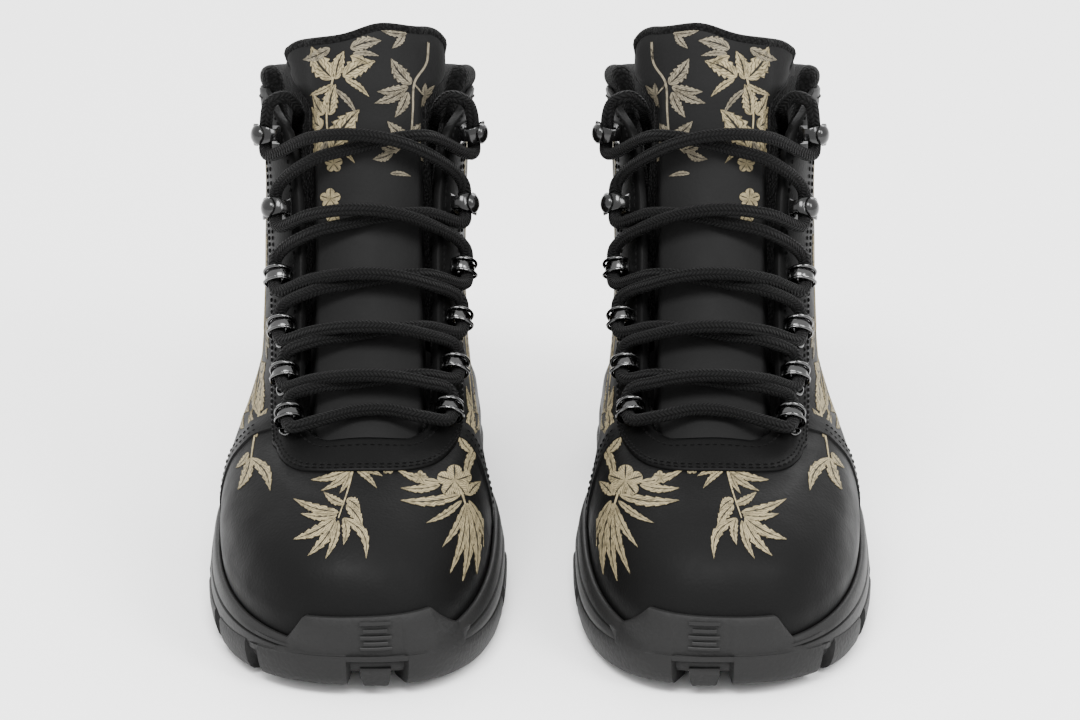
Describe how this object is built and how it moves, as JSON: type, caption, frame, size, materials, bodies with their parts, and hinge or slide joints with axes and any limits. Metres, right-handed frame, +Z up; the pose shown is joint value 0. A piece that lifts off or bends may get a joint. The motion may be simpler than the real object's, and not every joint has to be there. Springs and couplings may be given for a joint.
{
  "type": "pair of lace-up hiking boots",
  "caption": "Mid-cut hiking boots, laced through loops and speed hooks, with a padded knit collar, a toe bumper and a lugged outsole.",
  "frame": {"origin": "on the ground, in the middle of the pair's footprint", "axes": "+Z up, the toes point along -Y, the wearer's right boot stands at -X"},
  "size_m": [0.2576, 0.3044, 0.2056],
  "materials": {
    "outsole": "matt moulded rubber",
    "midsole": "satin moulded foam",
    "nylon": "satin",
    "board": "pressed fibre",
    "felt": "needled felt",
    "leather": "fine-grained satin leather with printed sprigs",
    "eyestay": "satin leather, double-stitched edge",
    "knit": "padded mesh knit",
    "tongue": "padded soft leather with printed sprigs",
    "webbing": "ribbed webbing",
    "lace": "round braid",
    "aglet": "gloss",
    "hardware": "gunmetal, glossy"
  },
  "bodies": {
    "right_boot": {"right_outsole": "outsole", "right_midsole": "midsole", "right_shank": "nylon", "right_lasting_board": "board", "right_vamp": "leather", "right_quarter_inner": "leather", "right_quarter_outer": "leather", "right_eyestay": "eyestay", "right_lining": "knit", "right_collar": "knit", "right_heel_counter": "nylon", "right_toe_puff": "nylon", "right_pull_tab": "webbing", "right_lace": "lace", "right_aglet_inner": "aglet", "right_aglet_outer": "aglet", "right_loop_inner_1": "hardware", "right_loop_inner_2": "hardware", "right_loop_inner_3": "hardware", "right_loop_inner_4": "hardware", "right_hook_inner_1": "hardware", "right_hook_inner_2": "hardware", "right_loop_outer_1": "hardware", "right_loop_outer_2": "hardware", "right_loop_outer_3": "hardware", "right_loop_outer_4": "hardware", "right_hook_outer_1": "hardware", "right_hook_outer_2": "hardware"},
    "right_tongue": {"right_tongue": "tongue"},
    "right_footbed": {"right_footbed": "felt"},
    "left_boot": {"left_outsole": "outsole", "left_midsole": "midsole", "left_shank": "nylon", "left_lasting_board": "board", "left_vamp": "leather", "left_quarter_inner": "leather", "left_quarter_outer": "leather", "left_eyestay": "eyestay", "left_lining": "knit", "left_collar": "knit", "left_heel_counter": "nylon", "left_toe_puff": "nylon", "left_pull_tab": "webbing", "left_lace": "lace", "left_aglet_inner": "aglet", "left_aglet_outer": "aglet", "left_loop_inner_1": "hardware", "left_loop_inner_2": "hardware", "left_loop_inner_3": "hardware", "left_loop_inner_4": "hardware", "left_hook_inner_1": "hardware", "left_hook_inner_2": "hardware", "left_loop_outer_1": "hardware", "left_loop_outer_2": "hardware", "left_loop_outer_3": "hardware", "left_loop_outer_4": "hardware", "left_hook_outer_1": "hardware", "left_hook_outer_2": "hardware"},
    "left_tongue": {"left_tongue": "tongue"},
    "left_footbed": {"left_footbed": "felt"}
  },
  "joints": [
    {"name": "left_boot_lift", "type": "slide", "parent": "right_boot", "child": "left_boot", "axis": [0, 0, 1], "range_m": [0, 0.25]},
    {"name": "right_tongue_hinge", "type": "hinge", "parent": "right_boot", "child": "right_tongue", "pos_m": [-0.06625, -0.06765, 0.07], "axis": [1, 0, 0], "range_deg": [-5, 0], "stiffness_Nm_per_rad": 0.8, "springref_deg": 5.16},
    {"name": "right_footbed_lift", "type": "slide", "parent": "right_boot", "child": "right_footbed", "axis": [0, 0, 1], "range_m": [0, 0.012]},
    {"name": "left_tongue_hinge", "type": "hinge", "parent": "left_boot", "child": "left_tongue", "pos_m": [0.06625, -0.06765, 0.07], "axis": [1, 0, 0], "range_deg": [-5, 0], "stiffness_Nm_per_rad": 0.8, "springref_deg": 5.16},
    {"name": "left_footbed_lift", "type": "slide", "parent": "left_boot", "child": "left_footbed", "axis": [0, 0, 1], "range_m": [0, 0.012]}
  ]
}
